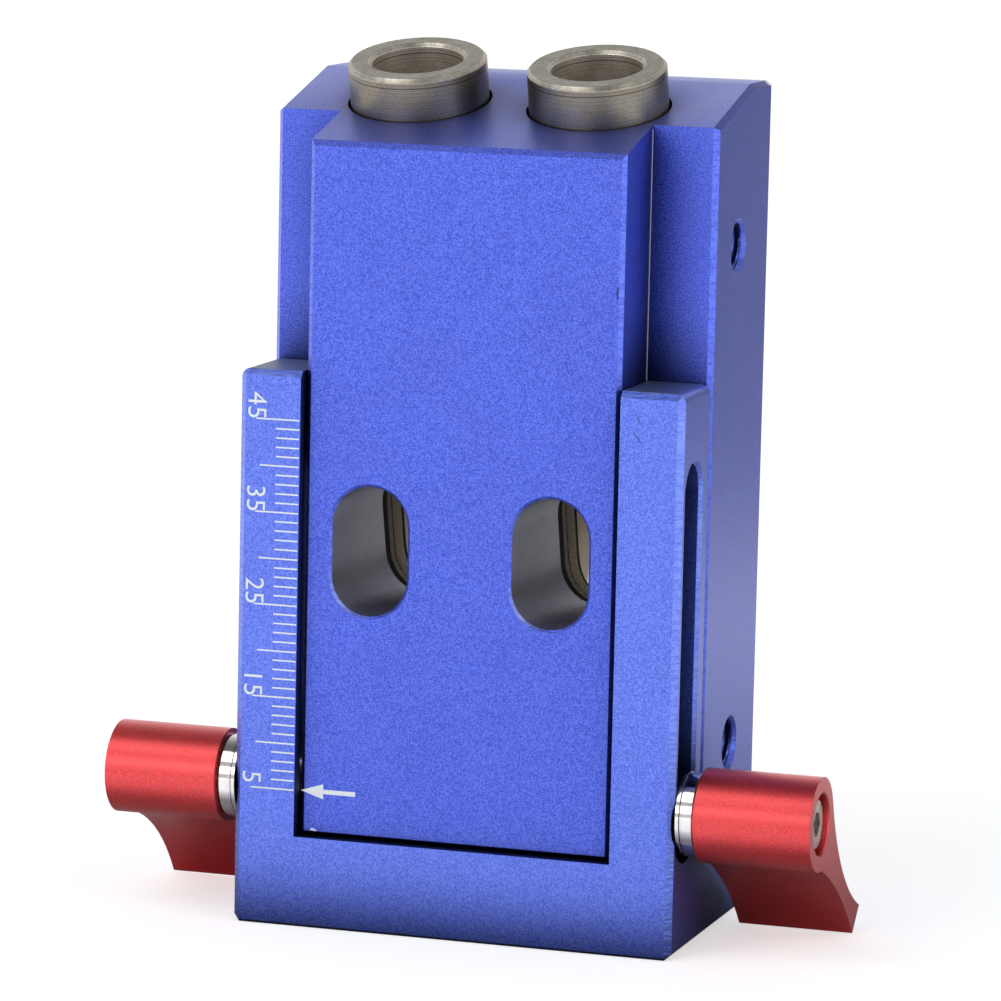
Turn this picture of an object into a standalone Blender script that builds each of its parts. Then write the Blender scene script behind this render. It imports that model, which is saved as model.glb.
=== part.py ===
"""Pocket hole jig: an anodised guide block with two steel drill bushings at fifteen degrees,
a U-shaped depth stop that slides on it, and two clamp levers that lock the stop.

Everything is in metres, with +Z up. The jig stands on the underside of its stop, and the
origin is on that plane, in the middle of the jig. The front is at -Y.
"""

import math

import bmesh
import bpy
from mathutils import Euler, Matrix, Vector

MM = 0.001

# Chamfers of the stop and the block: at outer corners, at other edges and underneath
corner_chamfer = 0.7 * MM
edge_chamfer = 0.5 * MM
foot_chamfer = 0.3 * MM

# Clearances
seat_gap = 0.3 * MM
clamp_gap = 0.1 * MM
lever_gap = 0.15 * MM
arm_gap = 0.5 * MM

# Width of the stop and of the block's flanges
jig_width = 49.2 * MM

# Depth stop, a U that wraps the guide block's front boss
stop_height = 60.2 * MM
stop_depth = 40.0 * MM
arm_thickness = 6.9 * MM
arm_depth = 10.0 * MM
base_height = 9.85 * MM
arm_corner_radius = 1.0 * MM

# Slot in each arm, with a shallow round recess at its lower end
slot_bridge = 7.8 * MM
slot_chamfer = 0.4 * MM
recess_radius = 4.3 * MM
recess_drop = 1.1 * MM
recess_depth = 1.2 * MM

# Guide block, a T section with a sloped top
boss_setback = 1.0 * MM
boss_height = 74.55 * MM
block_back = 31.9 * MM
slope_run = 23.6 * MM

# Drill bushings and the bores that hold them
drill_angle = math.radians(15.0)
bushing_spacing = 20.1 * MM
bushing_setback = 15.1 * MM
bushing_outer_radius = 7.5 * MM
bushing_bore_radius = 4.95 * MM
bushing_stand = 4.7 * MM
bushing_chamfer = 0.4 * MM

# Chip windows in the boss
window_width = 8.5 * MM
window_height = 14.0 * MM
window_rise = 31.05 * MM
window_end_space = 0.8 * MM
window_chamfer = 0.3 * MM

# Tapped holes in the flanks
flank_hole_radius = 2.5 * MM
flank_hole_sink = 0.5 * MM
flank_hole_depth = 6.0 * MM
upper_hole_setback = 19.5 * MM
upper_hole_drop = 15.65 * MM
lower_hole_setback = 21.5 * MM
lower_hole_rise = 9.55 * MM

# Clamp axis, and the pieces along it from the block outwards
clamp_setback = 4.7 * MM
clamp_rise = 5.25 * MM
stud_radius = 2.8 * MM
stud_engagement = 8.4 * MM
stud_hole_depth = 9.0 * MM
stud_chamfer = 0.5 * MM
washer_thickness = 0.4 * MM
collar_radius = 4.5 * MM
collar_length = 1.45 * MM
collar_chamfer = 0.2 * MM

# Toothed hub on the stud's outer end, and the lever's matching bore
hub_teeth = 16
hub_root_radius = 3.1 * MM
tooth_height = 0.5 * MM
hub_length = 2.25 * MM
hub_end_space = 0.4 * MM
lever_web = 1.2 * MM

# Retaining screw and the lever's spring
screw_radius = 1.5 * MM
screw_hole_depth = 4.4 * MM
screw_tip_space = 0.4 * MM
screw_chamfer = 0.2 * MM
screw_head_radius = 2.75 * MM
screw_head_height = 2.75 * MM
screw_recess = 0.5 * MM
hex_across_flats = 2.5 * MM
hex_depth = 1.5 * MM
spring_wire_radius = 0.25 * MM
spring_space = 0.6 * MM
spring_active_turns = 3
spring_end_turns = 1

# Clamp lever
barrel_radius = 5.05 * MM
barrel_length = 12.65 * MM
pocket_space = 0.55 * MM
lever_edge = 0.15 * MM
back_waist_reach = 14.5 * MM
back_waist = 0.92 * MM
front_waist_reach = 16.3 * MM
front_waist = 1.37 * MM
tip_front_reach = 21.1 * MM
tip_back_reach = 22.9 * MM
tip_corner_radius = 1.0 * MM
notch_angle = math.radians(-44.1)
right_lever_droop = math.radians(40.0)
left_lever_droop = math.radians(37.3)

# Facets: a tooth has three corners, and a circle has as many points as the toothed outline
TOOTH_POINTS = 3
ROUND_SEGMENTS = hub_teeth * TOOTH_POINTS
ARC_STEPS = 14
BARREL_STEPS = 44
FRONT_HOLLOW_STEPS = 10
TIP_CORNER_STEPS = 6
WIRE_SIDES = 6
WIRE_STEPS = 16
SMOOTH_ANGLE = math.radians(30.0)
CHAMFER_ANGLE = math.radians(40.0)
EMPTY_SIZE = 5.0 * MM
OVERRUN = 2.0 * MM
TOLERANCE = 0.01 * MM
X, Y, Z = range(3)

# Finishes, each a linear colour with its metallic and roughness values
BLUE_ANODISED = ((0.095, 0.15, 0.75), 0.85, 0.38)
RED_ANODISED = ((0.55, 0.045, 0.05), 0.75, 0.36)
BUSHING_STEEL = ((0.17, 0.155, 0.14), 1.0, 0.42)
CHROME = ((0.75, 0.74, 0.73), 1.0, 0.12)
SPRING_STEEL = ((0.45, 0.45, 0.46), 1.0, 0.3)
SCREW_STEEL = ((0.50, 0.49, 0.46), 1.0, 0.3)

# Sizes that follow from those above
jig_half = jig_width / 2
arm_inner = jig_half - arm_thickness
boss_half = arm_inner - seat_gap
flange_front = arm_depth + arm_gap
block_bottom = base_height + seat_gap
boss_top = block_bottom + boss_height
lip_front = block_back + seat_gap
slope_end = boss_setback + slope_run
block_top = boss_top + slope_run * math.tan(drill_angle)
clamp_height = base_height + clamp_rise
slot_half = stud_radius + seat_gap
slot_top_centre = stop_height - slot_bridge - slot_half
stud_hole_radius = stud_radius + seat_gap
washer_near = jig_half + clamp_gap
washer_far = washer_near + washer_thickness
collar_near = washer_far + clamp_gap
collar_far = collar_near + collar_length
lever_near = collar_far + lever_gap
lever_far = lever_near + barrel_length
hub_end = collar_far + hub_length
web_near = hub_end + hub_end_space
web_far = web_near + lever_web
hub_tip_radius = hub_root_radius + tooth_height
screw_top = lever_far - screw_recess
screw_neck = screw_top - screw_head_height
screw_hole_radius = screw_radius + seat_gap
spring_mean_radius = screw_radius + spring_space + spring_wire_radius
lever_pocket_radius = screw_head_radius + pocket_space
screw_hole_end = hub_end - screw_hole_depth
screw_tip = screw_hole_end + screw_tip_space
bore_radius = bushing_outer_radius + seat_gap
bushing_height = boss_top + (bushing_setback - boss_setback) * math.tan(drill_angle)
bushing_reach = (block_top - block_bottom) / math.cos(drill_angle) + bore_radius
bushing_half_spacing = bushing_spacing / 2
window_middle = block_bottom + window_rise
drill_setback = bushing_setback + (bushing_height - window_middle) * math.tan(drill_angle)
window_depth = drill_setback - window_end_space - boss_setback

# The stop's front face lies this far from the origin, so that the jig is centred on it
front_y = -(stop_depth + clamp_setback - barrel_radius) / 2


def clear_scene():
    for item in list(bpy.data.objects):
        bpy.data.objects.remove(item, do_unlink=True)


def make_material(name, finish):
    color, metallic, roughness = finish
    material = bpy.data.materials.new(name)
    material.use_nodes = True
    shader = material.node_tree.nodes["Principled BSDF"]
    shader.inputs["Base Color"].default_value = (*color, 1.0)
    shader.inputs["Metallic"].default_value = metallic
    shader.inputs["Roughness"].default_value = roughness
    material.diffuse_color = (*color, 1.0)
    return material


def finish_mesh(name, shape):
    bmesh.ops.recalc_face_normals(shape, faces=shape.faces[:])
    mesh = bpy.data.meshes.new(name)
    shape.to_mesh(mesh)
    shape.free()
    mesh.shade_smooth()
    mesh.set_sharp_from_angle(angle=SMOOTH_ANGLE)
    return mesh


def add_object(name, mesh, parent=None):
    item = bpy.data.objects.new(name, mesh)
    bpy.context.collection.objects.link(item)
    item.parent = parent
    return item


def add_piece(name, mesh, finish, parent=None):
    item = add_object(name, mesh, parent)
    item.data.materials.append(make_material(name + "_finish", finish))
    return item


def add_empty(name, location, rotation=Euler()):
    empty = bpy.data.objects.new(name, None)
    empty.location = location
    empty.rotation_euler = rotation
    empty.empty_display_size = EMPTY_SIZE
    bpy.context.collection.objects.link(empty)
    return empty


def add_cutter(name, mesh, parent=None):
    cutter = add_object(name, mesh, parent)
    cutter.hide_render = True
    cutter.display_type = "WIRE"
    return cutter


def lies_at(edge, axis, *places):
    """Whether an edge lies in a plane where one coordinate has one of these values."""
    return any(all(abs(vert.co[axis] - place) < TOLERANCE for vert in edge.verts)
               for place in places)


def mark_chamfers(shape, chamfer_of):
    """Store each outer edge's chamfer as a share of the widest one, for chamfer_marked."""
    bmesh.ops.recalc_face_normals(shape, faces=shape.faces[:])
    shares = shape.edges.layers.float.new("bevel_weight_edge")
    for edge in shape.edges:
        if edge.calc_face_angle_signed() > CHAMFER_ANGLE:
            edge[shares] = chamfer_of(edge) / corner_chamfer


def add_chamfer(item, width):
    chamfer = item.modifiers.new("Edge chamfer", "BEVEL")
    chamfer.width = width
    chamfer.segments = 1
    return chamfer


def chamfer_marked(item):
    add_chamfer(item, corner_chamfer).limit_method = "WEIGHT"


def chamfer_all(item, width):
    chamfer = add_chamfer(item, width)
    chamfer.limit_method = "ANGLE"
    chamfer.angle_limit = CHAMFER_ANGLE


def cut(item, cutter, operation="DIFFERENCE"):
    boolean = item.modifiers.new(cutter.name, "BOOLEAN")
    boolean.operation = operation
    boolean.solver = "EXACT"
    boolean.object = cutter


def loft(name, rings, closed=False):
    """Skin a row of point rings. A closed row joins its last ring to its first."""
    shape = bmesh.new()
    loops = [[shape.verts.new(point) for point in ring] for ring in rings]
    pairs = list(zip(loops, loops[1:]))
    if closed:
        pairs.append((loops[-1], loops[0]))
    else:
        shape.faces.new(loops[0])
        shape.faces.new(loops[-1])
    for near, far in pairs:
        count = len(near)
        for index in range(count):
            following = (index + 1) % count
            shape.faces.new((near[index], near[following], far[following], far[index]))
    return finish_mesh(name, shape)


def circle(radius, count=ROUND_SEGMENTS):
    angles = [2 * math.pi * index / count for index in range(count)]
    return [(radius * math.cos(angle), radius * math.sin(angle)) for angle in angles]


def toothed(root, tip):
    """An outline of flat-topped teeth with sharp roots between them."""
    points = []
    for index in range(ROUND_SEGMENTS):
        radius = root if index % TOOTH_POINTS == 0 else tip
        angle = 2 * math.pi * index / ROUND_SEGMENTS
        points.append((radius * math.cos(angle), radius * math.sin(angle)))
    return points


def hexagon(across_flats, count=ROUND_SEGMENTS):
    points = []
    for index in range(count):
        angle = 2 * math.pi * index / count
        from_flat = (angle + math.pi / 6) % (math.pi / 3) - math.pi / 6
        radius = across_flats / 2 / math.cos(from_flat)
        points.append((radius * math.cos(angle), radius * math.sin(angle)))
    return points


def obround(radius, low, high):
    """A slot outline along v, with its round ends centred at low and high."""
    points = []
    for centre, start in ((high, 0.0), (low, math.pi)):
        for step in range(ARC_STEPS + 1):
            angle = start + math.pi * step / ARC_STEPS
            points.append((radius * math.cos(angle), centre + radius * math.sin(angle)))
    return points


def axial_loft(name, sections):
    """Skin outlines that are stacked along local Z, from (height, outline) pairs."""
    rings = [[(u, v, height) for u, v in outline] for height, outline in sections]
    return loft(name, rings)


def turned_ring(name, profile):
    """Turn a closed outline of (height, radius) points round local Z."""
    rings = [[(u, v, height) for u, v in circle(radius)] for height, radius in profile]
    return loft(name, rings, closed=True)


def slope_height(y):
    """Height of the block's top, at a distance behind the stop's front face."""
    return boss_top + (min(y, slope_end) - boss_setback) * math.tan(drill_angle)


def slot_cutter(name, side, front, radius, low, high, near, far, chamfer):
    """A round-ended cutter through an arm, flared where it leaves the outer flank."""
    stages = (
        (near, radius),
        (far - chamfer, radius),
        (far + OVERRUN, radius + chamfer + OVERRUN),
    )
    rings = []
    for x, size in stages:
        rings.append([(side * x, front + u, v) for u, v in obround(size, low, high)])
    return add_cutter(name, loft(name, rings))


def stop_chamfer(edge):
    """The stop's outside is chamfered, and its edges beside the block are sharp."""
    front = lies_at(edge, Y, front_y)
    back = lies_at(edge, Y, front_y + stop_depth)
    foot = lies_at(edge, Z, 0.0)
    if foot and (front or back):
        return foot_chamfer
    if back:
        return edge_chamfer
    if foot:
        return corner_chamfer
    beside_block = lies_at(edge, X, -arm_inner, arm_inner) or lies_at(edge, Z, base_height)
    return corner_chamfer if front and not beside_block else 0.0


def build_stop():
    """Arms and base start as three faces in front view, and the base runs on behind them.

    Behind the block the base has a lip, level with the block's underside.
    """
    shape = bmesh.new()

    def corner(x, y, z):
        return shape.verts.new((x, front_y + y, z))

    feet = [corner(-jig_half, 0.0, 0.0), corner(jig_half, 0.0, 0.0)]
    shoulders = {}
    arm_faces = []
    for side in (-1, 1):
        outer = corner(side * jig_half, 0.0, base_height)
        inner = corner(side * arm_inner, 0.0, base_height)
        shoulders[side] = (outer, inner)
        outline = [inner, outer]
        round_x = jig_half - arm_corner_radius
        round_z = stop_height - arm_corner_radius
        for step in range(ARC_STEPS // 2 + 1):
            angle = math.pi * step / ARC_STEPS
            x = round_x + arm_corner_radius * math.cos(angle)
            z = round_z + arm_corner_radius * math.sin(angle)
            outline.append(corner(side * x, 0.0, z))
        outline.append(corner(side * arm_inner, 0.0, stop_height))
        arm_faces.append(shape.faces.new(outline))
    left_outer, left_inner = shoulders[-1]
    right_outer, right_inner = shoulders[1]
    base_face = shape.faces.new((*feet, right_outer, right_inner, left_inner, left_outer))

    drawn = bmesh.ops.extrude_face_region(shape, geom=[*arm_faces, base_face])["geom"]
    drawn_verts = [part for part in drawn if isinstance(part, bmesh.types.BMVert)]
    drawn_faces = [part for part in drawn if isinstance(part, bmesh.types.BMFace)]
    bmesh.ops.translate(shape, verts=drawn_verts, vec=(0.0, arm_depth, 0.0))

    base_back = min(drawn_faces, key=lambda face: face.calc_center_median().z)
    across = sorted(base_back.verts, key=lambda vert: vert.co.x)
    low = [vert for vert in across if vert.co.z < TOLERANCE]
    top = [vert for vert in across if vert not in low]
    rows = [low]
    for y, z in ((stop_depth, 0.0), (stop_depth, block_bottom),
                 (lip_front, block_bottom), (lip_front, base_height)):
        rows.append([corner(-jig_half, y, z), corner(jig_half, y, z)])
    for (near_left, near_right), (far_left, far_right) in zip(rows, rows[1:]):
        shape.faces.new((near_left, near_right, far_right, far_left))
    last_left, last_right = rows[-1]
    shape.faces.new((last_left, last_right, *reversed(top)))
    shape.faces.new([left for left, right in rows] + [top[0]])
    shape.faces.new([right for left, right in rows] + [top[-1]])
    bmesh.ops.delete(shape, geom=[base_back], context="FACES_ONLY")
    mark_chamfers(shape, stop_chamfer)

    stop = add_piece("sliding_stop", finish_mesh("sliding_stop", shape), BLUE_ANODISED)
    chamfer_marked(stop)
    slot_front = front_y + clamp_setback
    for side, word in ((-1, "left"), (1, "right")):
        near = arm_inner - OVERRUN
        cut(stop, slot_cutter(word + "_slot_cutter", side, slot_front, slot_half,
                              clamp_height, slot_top_centre, near, jig_half, slot_chamfer))
        near = jig_half - recess_depth
        cut(stop, slot_cutter(word + "_recess_cutter", side, slot_front, recess_radius,
                              clamp_height - recess_drop, clamp_height, near, jig_half, 0.0))
    return stop


def window_cutter(name, x):
    """A round-ended cutter that runs back from the boss's face into the drill bore."""
    radius = window_width / 2
    reach = (window_height - window_width) / 2
    low = window_middle - reach
    high = window_middle + reach
    stages = (
        (-OVERRUN, radius + window_chamfer + OVERRUN),
        (window_chamfer, radius),
        (window_depth, radius),
    )
    rings = []
    for depth, size in stages:
        y = front_y + boss_setback + depth
        rings.append([(x + u, y, v) for u, v in obround(size, low, high)])
    return add_cutter(name, loft(name, rings))


def drill_axis(name, side):
    """An empty where the bushing leaves the sloped top, with its Z along the drill."""
    place = Vector((side * bushing_half_spacing, front_y + bushing_setback, bushing_height))
    return add_empty(name, place, Euler((drill_angle, 0.0, 0.0)))


def flank_hole_cutter(name, side, setback, height):
    """A tapped hole's cutter, wider at its countersunk mouth."""
    wide = flank_hole_radius + flank_hole_sink
    sections = (
        (jig_half - flank_hole_depth, flank_hole_radius),
        (jig_half - flank_hole_sink, flank_hole_radius),
        (jig_half + OVERRUN, wide + OVERRUN),
    )
    rings = []
    for x, radius in sections:
        ring = [(side * x, front_y + setback + u, height + v) for u, v in circle(radius)]
        rings.append(ring)
    return add_cutter(name, loft(name, rings))


def stud_hole_cutter(name, side):
    """The tapped hole in the boss's side that takes the clamp stud."""
    rings = []
    for x in (boss_half - stud_hole_depth, boss_half + OVERRUN):
        ring = [(side * x, front_y + clamp_setback + u, clamp_height + v)
                for u, v in circle(stud_hole_radius)]
        rings.append(ring)
    return add_cutter(name, loft(name, rings))


def block_chamfer(edge):
    """The block's outside is chamfered, and its seat and the boss's top sides are sharp."""
    seat = lies_at(edge, Z, block_bottom)
    if lies_at(edge, Y, front_y + boss_setback):
        return foot_chamfer if seat else edge_chamfer
    flank = lies_at(edge, X, -jig_half, jig_half)
    if flank and lies_at(edge, Y, front_y + flange_front):
        return corner_chamfer
    back = lies_at(edge, Y, front_y + block_back)
    return edge_chamfer if (flank or back) and not seat else 0.0


def build_block(axes, windows):
    """The T outline seen from above, raised from the flat bottom to the sloped top."""
    outline = (
        (-boss_half, boss_setback),
        (boss_half, boss_setback),
        (boss_half, flange_front),
        (jig_half, flange_front),
        (jig_half, slope_end),
        (jig_half, block_back),
        (-jig_half, block_back),
        (-jig_half, slope_end),
        (-jig_half, flange_front),
        (-boss_half, flange_front),
    )
    shape = bmesh.new()
    low = [shape.verts.new((x, front_y + y, block_bottom)) for x, y in outline]
    high = [shape.verts.new((x, front_y + y, slope_height(y))) for x, y in outline]
    shape.faces.new(low)
    for index in range(len(outline)):
        following = (index + 1) % len(outline)
        shape.faces.new((low[index], low[following], high[following], high[index]))
    land = high[4:8]
    slope = high[:5] + high[7:]
    shape.faces.new(slope)
    shape.faces.new(land)
    mark_chamfers(shape, block_chamfer)

    block = add_piece("guide_block", finish_mesh("guide_block", shape), BLUE_ANODISED)
    chamfer_marked(block)
    bore_sections = ((-bushing_reach, circle(bore_radius)),
                     (bushing_stand + OVERRUN, circle(bore_radius)))
    upper_height = slope_height(upper_hole_setback) - upper_hole_drop
    lower_height = block_bottom + lower_hole_rise
    for side, word in ((-1, "left"), (1, "right")):
        bore = add_cutter(word + "_bore_cutter",
                          axial_loft(word + "_bore_cutter", bore_sections), axes[word])
        cut(block, bore)
        cut(block, windows[word])
        cut(block, stud_hole_cutter(word + "_stud_hole_cutter", side))
        cut(block, flank_hole_cutter(word + "_upper_hole_cutter", side,
                                     upper_hole_setback, upper_height))
        cut(block, flank_hole_cutter(word + "_lower_hole_cutter", side,
                                     lower_hole_setback, lower_height))
    return block


def build_bushing(name, axis, window, envelope):
    """A hardened sleeve, cut off flush with the block's back and bottom and by the window."""
    outer = bushing_outer_radius
    bore = bushing_bore_radius
    top = bushing_stand
    rim = bushing_chamfer
    profile = (
        (-bushing_reach, outer),
        (top - rim, outer),
        (top, outer - rim),
        (top, bore + rim),
        (top - rim, bore),
        (-bushing_reach, bore),
    )
    bushing = add_piece(name, turned_ring(name, profile), BUSHING_STEEL, axis)
    cut(bushing, envelope, "INTERSECT")
    cut(bushing, window)
    return bushing


def build_envelope():
    """The space that the bushings may fill: in front of the board and above the base."""
    wide = jig_half + OVERRUN
    tall = block_top + bushing_stand + bushing_outer_radius
    shape = bmesh.new()
    bmesh.ops.create_cube(shape, size=1.0)
    size = Vector((2 * wide, block_back, tall - block_bottom))
    middle = Vector((0.0, front_y + block_back / 2, (tall + block_bottom) / 2))
    bmesh.ops.transform(shape, verts=shape.verts[:],
                        matrix=Matrix.Translation(middle) @ Matrix.Diagonal((*size, 1.0)))
    return add_cutter("bushing_envelope", finish_mesh("bushing_envelope", shape))


def arc_points(centre, radius, start, end, steps):
    points = []
    for step in range(steps + 1):
        angle = start + (end - start) * step / steps
        points.append((centre[0] + radius * math.cos(angle),
                       centre[1] + radius * math.sin(angle)))
    return points


def lever_outline():
    """The lever's end view: a round barrel, and a paddle with a hollow front and back.

    The back hollow is tangent to the barrel. The front hollow meets it at a notch.
    """
    back_radius = (back_waist_reach ** 2 + back_waist ** 2 - barrel_radius ** 2) / (
        2 * (barrel_radius - back_waist))
    back_centre = (back_waist_reach, back_waist + back_radius)
    notch = (barrel_radius * math.cos(notch_angle), barrel_radius * math.sin(notch_angle))
    notch_run = front_waist_reach - notch[0]
    notch_rise = -front_waist - notch[1]
    front_radius = (notch_run ** 2 + notch_rise ** 2) / (2 * notch_rise)
    front_centre = (front_waist_reach, -front_waist - front_radius)

    blend = math.atan2(back_centre[1], back_centre[0])
    barrel = arc_points((0.0, 0.0), barrel_radius, blend, notch_angle + 2 * math.pi,
                        BARREL_STEPS)

    front_start = math.atan2(notch[1] - front_centre[1], notch[0] - front_centre[0])
    front_end = math.acos((tip_front_reach - front_centre[0]) / front_radius)
    front = arc_points(front_centre, front_radius, front_start, front_end,
                       FRONT_HOLLOW_STEPS)

    back_end = -math.acos((tip_back_reach - tip_corner_radius - back_centre[0]) / back_radius)
    back = arc_points(back_centre, back_radius, back_end, blend - math.pi, ARC_STEPS)
    corner_angle = math.atan2(back_centre[1] - back[0][1], back_centre[0] - back[0][0])
    corner_centre = (back[0][0] - tip_corner_radius * math.cos(corner_angle),
                     back[0][1] - tip_corner_radius * math.sin(corner_angle))
    tip_front = front[-1]
    slant = math.atan2(corner_centre[1] - tip_front[1], corner_centre[0] - tip_front[0])
    lean = math.asin(tip_corner_radius / math.dist(corner_centre, tip_front))
    corner = arc_points(corner_centre, tip_corner_radius, slant - lean + math.pi / 2,
                        corner_angle, TIP_CORNER_STEPS)
    return barrel[:-1] + front + corner[:-1] + back[:-1]


def build_lever(name, parent):
    outline = lever_outline()
    sections = ((lever_near, outline), (lever_far, outline))
    lever = add_piece(name, axial_loft(name, sections), RED_ANODISED, parent)
    chamfer_all(lever, lever_edge)
    grooves = toothed(hub_root_radius + lever_gap, hub_tip_radius + lever_gap)
    pocket = circle(lever_pocket_radius)
    sections = (
        (lever_near - OVERRUN, grooves),
        (web_near, grooves),
        (web_near, circle(screw_hole_radius)),
        (web_far, circle(screw_hole_radius)),
        (web_far, pocket),
        (lever_far - lever_edge, pocket),
        (lever_far + OVERRUN, circle(lever_pocket_radius + lever_edge + OVERRUN)),
    )
    cut(lever, add_cutter(name + "_bore_cutter",
                          axial_loft(name + "_bore_cutter", sections), parent))
    return lever


def build_stud(name, parent):
    """Stud, collar and toothed hub in one turned piece, bored for the retaining screw."""
    shaft_end = boss_half - stud_engagement
    teeth = toothed(hub_root_radius, hub_tip_radius)
    hole = circle(screw_hole_radius)
    rim = collar_radius - collar_chamfer
    sections = (
        (shaft_end, circle(stud_radius - stud_chamfer)),
        (shaft_end + stud_chamfer, circle(stud_radius)),
        (collar_near, circle(stud_radius)),
        (collar_near, circle(rim)),
        (collar_near + collar_chamfer, circle(collar_radius)),
        (collar_far - collar_chamfer, circle(collar_radius)),
        (collar_far, circle(rim)),
        (collar_far, teeth),
        (hub_end, teeth),
        (hub_end, hole),
        (screw_hole_end, hole),
    )
    return add_piece(name, axial_loft(name, sections), CHROME, parent)


def build_washer(name, parent):
    profile = (
        (washer_near, stud_hole_radius),
        (washer_near, collar_radius),
        (washer_far, collar_radius),
        (washer_far, stud_hole_radius),
    )
    return add_piece(name, turned_ring(name, profile), CHROME, parent)


def build_screw(name, parent):
    """A socket cap screw, with its hexagon open to the outside."""
    rim = screw_head_radius - screw_chamfer
    socket = hexagon(hex_across_flats)
    sections = (
        (screw_tip, circle(screw_radius - screw_chamfer)),
        (screw_tip + screw_chamfer, circle(screw_radius)),
        (screw_neck, circle(screw_radius)),
        (screw_neck, circle(screw_head_radius)),
        (screw_top - screw_chamfer, circle(screw_head_radius)),
        (screw_top, circle(rim)),
        (screw_top, socket),
        (screw_top - hex_depth, socket),
    )
    return add_piece(name, axial_loft(name, sections), SCREW_STEEL, parent)


def spring_height(turn, low, high):
    """Height of the wire's centre: closed turns at each end, open ones between."""
    closed = 2 * spring_wire_radius + clamp_gap
    total = spring_active_turns + 2 * spring_end_turns
    pitch = (high - low - 2 * spring_end_turns * closed) / spring_active_turns
    first = min(turn, spring_end_turns)
    last = max(turn - (total - spring_end_turns), 0.0)
    return low + closed * (first + last) + pitch * (turn - first - last)


def build_spring(name, parent):
    """A compression spring between the lever's web and the screw's head."""
    low = web_far + spring_wire_radius + clamp_gap
    high = screw_neck - spring_wire_radius - clamp_gap
    total = spring_active_turns + 2 * spring_end_turns
    count = total * WIRE_STEPS

    def wire_centre(turn):
        angle = 2 * math.pi * turn
        return Vector((spring_mean_radius * math.cos(angle),
                       spring_mean_radius * math.sin(angle),
                       spring_height(turn, low, high)))

    rings = []
    for index in range(count + 1):
        turn = total * index / count
        centre = wire_centre(turn)
        outward = Vector((centre.x, centre.y, 0.0)).normalized()
        before = wire_centre(max(turn - 0.5 / WIRE_STEPS, 0.0))
        after = wire_centre(min(turn + 0.5 / WIRE_STEPS, total))
        upward = outward.cross((after - before).normalized())
        ring = []
        for side in range(WIRE_SIDES):
            angle = 2 * math.pi * side / WIRE_SIDES
            offset = outward * math.cos(angle) + upward * math.sin(angle)
            ring.append(centre + spring_wire_radius * offset)
        rings.append(ring)
    return add_piece(name, loft(name, rings), SPRING_STEEL, parent)


def build_clamp(word, side, droop):
    """One clamp, about an empty on its axis whose Z points away from the block."""
    facing = Matrix(((0, 0, side), (1, 0, 0), (0, side, 0))).to_euler()
    place = Vector((0.0, front_y + clamp_setback, clamp_height))
    axis = add_empty(word + "_clamp_axis", place, facing)
    turn = add_empty(word + "_clamp_turn", Vector(), Euler((0.0, 0.0, -side * droop)))
    turn.parent = axis
    build_washer(word + "_clamp_washer", turn)
    build_stud(word + "_clamp_stud", turn)
    build_screw(word + "_retaining_screw", turn)
    build_spring(word + "_lever_spring", turn)
    build_lever(word + "_clamp_lever", turn)


def build_jig():
    clear_scene()
    build_stop()
    axes = {"left": drill_axis("left_drill_axis", -1), "right": drill_axis("right_drill_axis", 1)}
    windows = {
        "left": window_cutter("left_window_cutter", -bushing_half_spacing),
        "right": window_cutter("right_window_cutter", bushing_half_spacing),
    }
    build_block(axes, windows)
    envelope = build_envelope()
    for word in ("left", "right"):
        build_bushing(word + "_drill_bushing", axes[word], windows[word], envelope)
    build_clamp("left", -1, left_lever_droop)
    build_clamp("right", 1, right_lever_droop)


build_jig()
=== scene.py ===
"""Looks of the pocket hole jig.

They are its finishes, engraved scale, threads and wear, and the camera and the light.
Lengths are in metres. X is to the right, the front is at -Y, and Z is up.
"""

import math

import bmesh
import bpy
from mathutils import Matrix, Vector


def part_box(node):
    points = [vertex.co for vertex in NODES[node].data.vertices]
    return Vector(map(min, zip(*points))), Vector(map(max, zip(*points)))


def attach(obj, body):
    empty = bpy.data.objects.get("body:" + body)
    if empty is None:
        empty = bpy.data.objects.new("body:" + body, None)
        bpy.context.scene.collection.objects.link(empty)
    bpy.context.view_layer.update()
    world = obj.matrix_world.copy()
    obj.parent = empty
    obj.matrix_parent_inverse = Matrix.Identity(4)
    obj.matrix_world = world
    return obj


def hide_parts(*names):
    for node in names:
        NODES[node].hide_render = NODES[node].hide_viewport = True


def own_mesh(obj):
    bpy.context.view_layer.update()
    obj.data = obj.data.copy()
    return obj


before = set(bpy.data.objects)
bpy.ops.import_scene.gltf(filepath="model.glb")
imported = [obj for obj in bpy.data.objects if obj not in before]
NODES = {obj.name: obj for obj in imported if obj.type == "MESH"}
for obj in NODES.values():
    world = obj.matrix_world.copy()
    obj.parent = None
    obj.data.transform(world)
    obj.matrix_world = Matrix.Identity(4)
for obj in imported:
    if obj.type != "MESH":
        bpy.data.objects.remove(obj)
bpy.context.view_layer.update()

MM = 0.001
SIDES = (("left", -1), ("right", 1))

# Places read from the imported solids
STOP_LOW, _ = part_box("sliding_stop")
BLOCK_LOW, BLOCK_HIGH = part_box("guide_block")
STOP_FRONT = STOP_LOW.y
BLOCK_FRONT = BLOCK_LOW.y
FLANK = BLOCK_HIGH.x

# Drill bushings: the axis leans forward as it rises, and meets the sloped top at this point
DRILL_TILT = math.radians(15.0)
DRILL_HALF_SPACING = 10.05 * MM
DRILL_TOP_Y = STOP_FRONT + 15.1 * MM
DRILL_TOP_Z = 88.45 * MM
BORE_RADIUS = 4.95 * MM
BUSHING_STAND = 4.7 * MM
RIM_GROOVE_DROP = 1.05 * MM
RIM_GROOVE_HALF = 0.08 * MM
RIM_BAND = 0.5 * MM
BORE_SKIN = 0.03 * MM

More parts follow.
